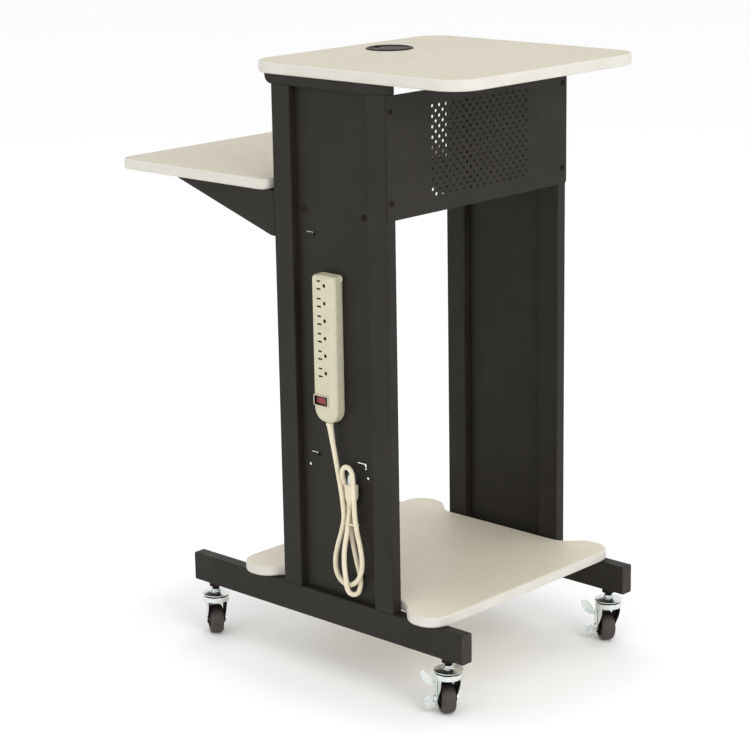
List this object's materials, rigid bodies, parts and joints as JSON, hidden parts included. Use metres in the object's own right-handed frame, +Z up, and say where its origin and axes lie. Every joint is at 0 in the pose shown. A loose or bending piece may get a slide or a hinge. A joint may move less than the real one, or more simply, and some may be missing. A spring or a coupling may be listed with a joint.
{
  "type": "lectern podium",
  "caption": "Wheeled presentation lectern with laminate worktop, side shelf, base shelf, perforated modesty panel and power strip on steel columns.",
  "frame": {"origin": "on the floor under the middle of the overall box, measured without the cord and its plug", "axes": "+Z up; -Y the audience side, where the perforated panel is; +Y the presenter's side, where the side shelf is; -X the column with the power strip"},
  "size_m": [0.479, 0.781, 1.0313],
  "materials": {
    "laminate": "fine grained high pressure laminate",
    "painted_steel": "fine textured powder coat",
    "grommet_plastic": "moulded, fine grain",
    "cap_plastic": "moulded, satin",
    "dark_screw": "black oxide",
    "zinc_plate": "bright zinc plate",
    "wheel_rubber": "soft matt rubber",
    "strip_plastic": "moulded, satin",
    "rocker_red": "translucent red, glossy",
    "cord_plastic": "soft PVC jacket, satin"
  },
  "bodies": {
    "frame": {"worktop": "laminate", "grommet_sleeve": "grommet_plastic", "side_shelf": "laminate", "base_shelf": "laminate", "modesty_panel": "painted_steel", "left_front_post": "painted_steel", "left_rear_post": "painted_steel", "left_panel": "painted_steel", "left_top_rail": "painted_steel", "left_shelf_bracket": "painted_steel", "left_base_tube": "painted_steel", "left_front_tube_cap": "cap_plastic", "left_rear_tube_cap": "cap_plastic", "left_upper_panel_screw": "dark_screw", "left_lower_panel_screw": "dark_screw", "left_front_caster_socket": "cap_plastic", "left_front_caster_plate": "zinc_plate", "left_rear_caster_socket": "cap_plastic", "left_rear_caster_plate": "zinc_plate", "right_front_post": "painted_steel", "right_rear_post": "painted_steel", "right_panel": "painted_steel", "right_top_rail": "painted_steel", "right_shelf_bracket": "painted_steel", "right_base_tube": "painted_steel", "right_front_tube_cap": "cap_plastic", "right_rear_tube_cap": "cap_plastic", "right_upper_panel_screw": "dark_screw", "right_lower_panel_screw": "dark_screw", "right_front_caster_socket": "cap_plastic", "right_front_caster_plate": "zinc_plate", "right_rear_caster_socket": "cap_plastic", "right_rear_caster_plate": "zinc_plate", "power_strip_base": "strip_plastic", "power_strip_cover": "strip_plastic", "switch_bezel": "strip_plastic", "strain_relief": "cord_plastic", "power_cord": "cord_plastic", "cord_hank": "cord_plastic", "plug": "cord_plastic"},
    "grommet_cap": {"grommet_cap": "grommet_plastic"},
    "rocker": {"rocker_switch": "rocker_red"},
    "left_front_fork": {"left_front_caster_fork": "zinc_plate", "left_front_caster_axle": "zinc_plate"},
    "left_front_wheel": {"left_front_caster_wheel": "wheel_rubber"},
    "left_front_brake": {"left_front_brake_lever": "zinc_plate"},
    "left_rear_fork": {"left_rear_caster_fork": "zinc_plate", "left_rear_caster_axle": "zinc_plate"},
    "left_rear_wheel": {"left_rear_caster_wheel": "wheel_rubber"},
    "right_front_fork": {"right_front_caster_fork": "zinc_plate", "right_front_caster_axle": "zinc_plate"},
    "right_front_wheel": {"right_front_caster_wheel": "wheel_rubber"},
    "right_front_brake": {"right_front_brake_lever": "zinc_plate"},
    "right_rear_fork": {"right_rear_caster_fork": "zinc_plate", "right_rear_caster_axle": "zinc_plate"},
    "right_rear_wheel": {"right_rear_caster_wheel": "wheel_rubber"}
  },
  "joints": [
    {"name": "grommet_cap_lift", "type": "slide", "parent": "frame", "child": "grommet_cap", "axis": [0, 0, 1], "range_m": [0, 0.03]},
    {"name": "rocker_tip", "type": "hinge", "parent": "frame", "child": "rocker", "pos_m": [-0.23208, -0.0925, 0.4875], "axis": [0, 0, 1], "range_deg": [0, 12]},
    {"name": "left_front_swivel", "type": "hinge", "parent": "frame", "child": "left_front_fork", "pos_m": [-0.21148, -0.343, 0.07], "axis": [0, 0, 1], "continuous": true},
    {"name": "left_front_roll", "type": "hinge", "parent": "left_front_fork", "child": "left_front_wheel", "pos_m": [-0.20288, -0.33071, 0.0254], "axis": [-0.8192, 0.5736, 0], "continuous": true},
    {"name": "left_front_brake", "type": "hinge", "parent": "left_front_fork", "child": "left_front_brake", "pos_m": [-0.20288, -0.33071, 0.0254], "axis": [-0.8192, 0.5736, 0], "range_deg": [0, 14]},
    {"name": "left_rear_swivel", "type": "hinge", "parent": "frame", "child": "left_rear_fork", "pos_m": [-0.21148, 0.202, 0.07], "axis": [0, 0, 1], "continuous": true},
    {"name": "left_rear_roll", "type": "hinge", "parent": "left_rear_fork", "child": "left_rear_wheel", "pos_m": [-0.20288, 0.21429, 0.0254], "axis": [-0.8192, 0.5736, 0], "continuous": true},
    {"name": "right_front_swivel", "type": "hinge", "parent": "frame", "child": "right_front_fork", "pos_m": [0.21052, -0.343, 0.07], "axis": [0, 0, 1], "continuous": true},
    {"name": "right_front_roll", "type": "hinge", "parent": "right_front_fork", "child": "right_front_wheel", "pos_m": [0.21912, -0.33071, 0.0254], "axis": [-0.8192, 0.5736, 0], "continuous": true},
    {"name": "right_front_brake", "type": "hinge", "parent": "right_front_fork", "child": "right_front_brake", "pos_m": [0.21912, -0.33071, 0.0254], "axis": [-0.8192, 0.5736, 0], "range_deg": [0, 14]},
    {"name": "right_rear_swivel", "type": "hinge", "parent": "frame", "child": "right_rear_fork", "pos_m": [0.21052, 0.202, 0.07], "axis": [0, 0, 1], "continuous": true},
    {"name": "right_rear_roll", "type": "hinge", "parent": "right_rear_fork", "child": "right_rear_wheel", "pos_m": [0.21912, 0.21429, 0.0254], "axis": [-0.8192, 0.5736, 0], "continuous": true}
  ]
}
